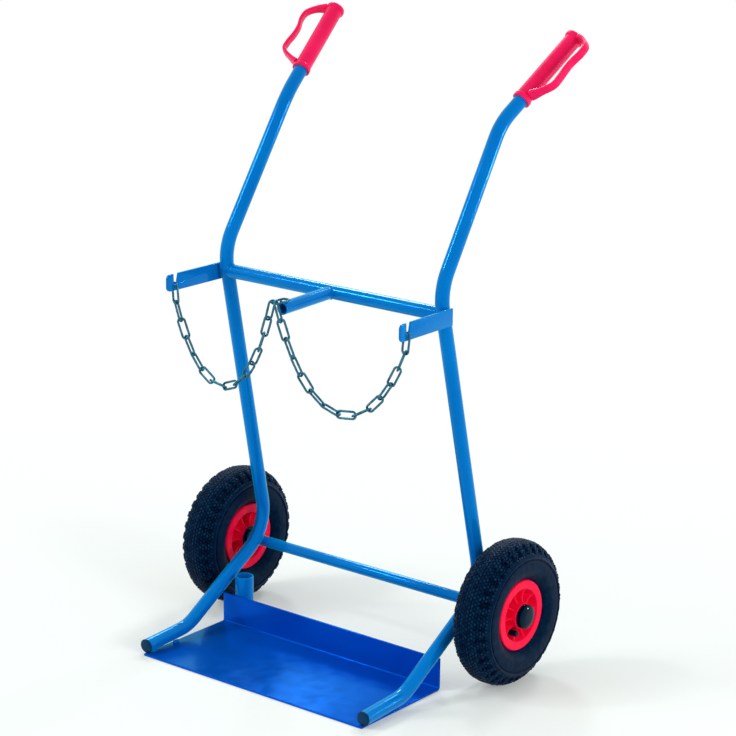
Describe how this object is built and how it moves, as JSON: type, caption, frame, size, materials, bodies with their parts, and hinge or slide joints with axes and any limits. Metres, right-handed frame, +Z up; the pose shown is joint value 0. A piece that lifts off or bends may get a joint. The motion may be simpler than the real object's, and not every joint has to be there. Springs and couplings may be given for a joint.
{
  "type": "gas cylinder cart",
  "caption": "Hand cart for gas cylinders: bent tube frame with a folded toe plate, pneumatic wheels, guarded grips and hanging chains between slotted arms and a middle stub.",
  "frame": {"origin": "centre of the toe plate's underside, on the floor", "axes": "+Z up, -Y to the front where the toe is, +Y to the wheels and handles, +X to the right seen from the front"},
  "size_m": [0.7214, 0.557, 1.1115],
  "materials": {
    "frame_paint": "blue powder coat, satin",
    "grip_plastic": "red moulded plastic, satin",
    "rim_plastic": "red moulded plastic, satin",
    "tyre_rubber": "black rubber",
    "valve_rubber": "black rubber",
    "black_plastic": "black moulded plastic",
    "chain_steel": "zinc-plated steel wire",
    "washer_steel": "zinc-plated steel"
  },
  "bodies": {
    "frame": {"left_side_tube": "frame_paint", "right_side_tube": "frame_paint", "crossbar": "frame_paint", "stub_tube": "frame_paint", "left_arm": "frame_paint", "right_arm": "frame_paint", "axle": "frame_paint", "toe_plate": "frame_paint", "rod_socket": "frame_paint", "left_spacer": "frame_paint", "right_spacer": "frame_paint", "chain_eye": "chain_steel", "left_toe_plug": "black_plastic", "left_grip": "grip_plastic", "left_washer": "washer_steel", "left_hub_cap": "black_plastic", "right_toe_plug": "black_plastic", "right_grip": "grip_plastic", "right_washer": "washer_steel", "right_hub_cap": "black_plastic"},
    "left_wheel": {"left_tyre": "tyre_rubber", "left_rim": "rim_plastic", "left_outer_bearing": "black_plastic", "left_inner_bearing": "black_plastic", "left_valve": "valve_rubber"},
    "right_wheel": {"right_tyre": "tyre_rubber", "right_rim": "rim_plastic", "right_outer_bearing": "black_plastic", "right_inner_bearing": "black_plastic", "right_valve": "valve_rubber"},
    "left_chain": {"left_link_01": "chain_steel", "left_link_02": "chain_steel", "left_link_03": "chain_steel", "left_link_04": "chain_steel", "left_link_05": "chain_steel", "left_link_06": "chain_steel", "left_link_07": "chain_steel", "left_link_08": "chain_steel", "left_link_09": "chain_steel", "left_link_10": "chain_steel", "left_link_11": "chain_steel", "left_link_12": "chain_steel", "left_link_13": "chain_steel", "left_link_14": "chain_steel"},
    "right_chain": {"right_link_01": "chain_steel", "right_link_02": "chain_steel", "right_link_03": "chain_steel", "right_link_04": "chain_steel", "right_link_05": "chain_steel", "right_link_06": "chain_steel", "right_link_07": "chain_steel", "right_link_08": "chain_steel", "right_link_09": "chain_steel", "right_link_10": "chain_steel", "right_link_11": "chain_steel", "right_link_12": "chain_steel", "right_link_13": "chain_steel", "right_link_14": "chain_steel"}
  },
  "joints": [
    {"name": "left_wheel_spin", "type": "hinge", "parent": "frame", "child": "left_wheel", "pos_m": [-0.3137, 0.21411, 0.13], "axis": [1, 0, 0], "continuous": true},
    {"name": "right_wheel_spin", "type": "hinge", "parent": "frame", "child": "right_wheel", "pos_m": [0.3137, 0.21411, 0.13], "axis": [1, 0, 0], "continuous": true},
    {"name": "left_chain_swing", "type": "hinge", "parent": "frame", "child": "left_chain", "pos_m": [-0.25761, -0.00855, 0.66644], "axis": [-0.9906, 0.1286, -0.0469], "range_deg": [-22, 36]},
    {"name": "right_chain_swing", "type": "hinge", "parent": "frame", "child": "right_chain", "pos_m": [0.25761, -0.00855, 0.66644], "axis": [-0.9906, -0.1286, 0.0469], "range_deg": [-22, 36]}
  ]
}
